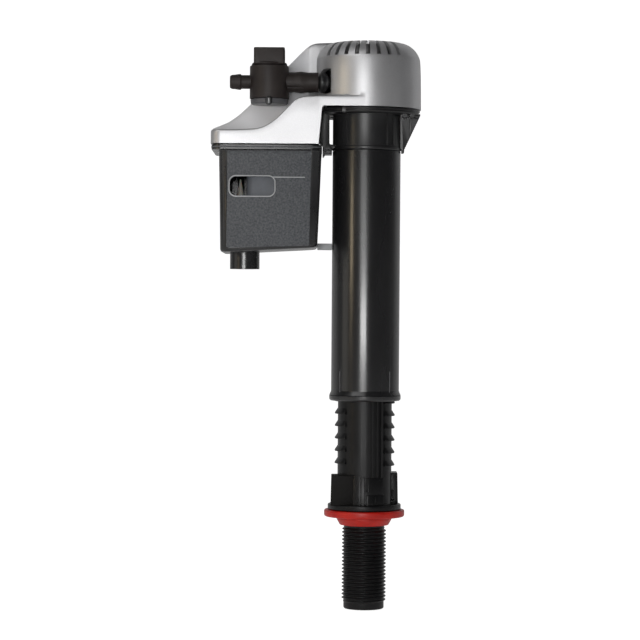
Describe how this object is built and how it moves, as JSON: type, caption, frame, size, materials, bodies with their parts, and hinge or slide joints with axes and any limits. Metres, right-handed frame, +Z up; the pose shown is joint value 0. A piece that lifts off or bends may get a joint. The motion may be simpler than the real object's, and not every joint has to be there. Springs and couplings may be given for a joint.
{
  "type": "toilet fill valve",
  "caption": "Height-adjustable toilet fill valve: threaded shank with washer, telescoping riser, silver-capped head, side float chamber and a rotary refill valve.",
  "frame": {"origin": "middle of the bounding box in plan, in the plane of the shank's end face; the riser's centre line stands 24.95 mm along +X from it", "axes": "+Z up along the riser, -X towards the float chamber, -Y is the front with the refill valve and the chamber window"},
  "size_m": [0.104, 0.0542, 0.2822],
  "materials": {
    "black_plastic": "semi-gloss moulded",
    "chamber_plastic": "glossy sides, fine-textured front panel",
    "silver_plastic": "satin silver-pigmented plastic",
    "red_rubber": "smooth moulded",
    "brown_black_plastic": "matte, faintly brown",
    "grey_float_plastic": "matte",
    "natural_nylon": "unpigmented, slightly translucent",
    "light_grey_plastic": "matte",
    "black_rubber": "matte",
    "steel_pin": "bright drawn"
  },
  "bodies": {
    "base": {"shank_base": "black_plastic", "shank_washer": "red_rubber", "inlet_filter": "natural_nylon"},
    "carrier": {"riser_seal_ring": "black_rubber"},
    "upper": {"outer_tube": "black_plastic", "inlet_riser": "black_plastic", "riser_top_oring": "black_rubber", "valve_body": "black_plastic", "main_diaphragm": "black_rubber", "pressure_cover": "black_plastic", "cover_gasket": "black_rubber", "arm_pivot_pin": "steel_pin", "float_chamber": "chamber_plastic", "chamber_clip": "light_grey_plastic", "head_cover": "silver_plastic", "refill_valve_body": "brown_black_plastic", "refill_retainer": "brown_black_plastic", "refill_knob_oring": "black_rubber", "refill_nipple_oring": "black_rubber"},
    "arm": {"float_arm": "black_plastic", "pilot_seal_pad": "black_rubber"},
    "swivel": {"rod_swivel": "natural_nylon"},
    "rod": {"level_rod": "natural_nylon"},
    "float_body": {"float": "grey_float_plastic"},
    "poppet": {"main_valve_poppet": "natural_nylon"},
    "check": {"drain_check_disc": "black_rubber"},
    "knob": {"refill_knob": "brown_black_plastic"}
  },
  "joints": [
    {"name": "height_adjust", "type": "slide", "parent": "base", "child": "carrier", "axis": [0, 0, 1], "range_m": [-0.031, 0.0682]},
    {"name": "twist_lock", "type": "hinge", "parent": "carrier", "child": "upper", "pos_m": [0.02495, 0, 0.1071], "axis": [0, 0, 1], "range_deg": [-45, 0]},
    {"name": "float_arm_pivot", "type": "hinge", "parent": "upper", "child": "arm", "pos_m": [0.01595, 0.003, 0.2747], "axis": [0, 1, 0], "range_deg": [0, 2.4]},
    {"name": "float_lift", "type": "slide", "parent": "upper", "child": "swivel", "axis": [0, 0, 1], "range_m": [0, 0.0023]},
    {"name": "level_rod_turn", "type": "hinge", "parent": "swivel", "child": "rod", "pos_m": [-0.03805, 0.0058, 0.23], "axis": [0, 0, 1], "range_deg": [-540, 720]},
    {"name": "float_trim", "type": "slide", "parent": "swivel", "child": "float_body", "axis": [0, 0, 1], "range_m": [-0.0045, 0.006]},
    {"name": "main_valve_travel", "type": "slide", "parent": "upper", "child": "poppet", "axis": [0, 0, 1], "range_m": [-0.0007, 0]},
    {"name": "drain_check_lift", "type": "slide", "parent": "upper", "child": "check", "axis": [0, 0, 1], "range_m": [0, 0.0028]},
    {"name": "refill_knob_turn", "type": "hinge", "parent": "upper", "child": "knob", "pos_m": [-0.02355, -0.017, 0.27], "axis": [0, 0, 1], "range_deg": [0, 90]}
  ],
  "couplings": [
    {"joint": "float_lift", "follows": "float_arm_pivot", "m_per_rad": 0.054},
    {"joint": "main_valve_travel", "follows": "float_arm_pivot", "m_per_rad": -0.01635},
    {"joint": "level_rod_turn", "follows": "float_trim", "rad_per_m": 2094}
  ]
}
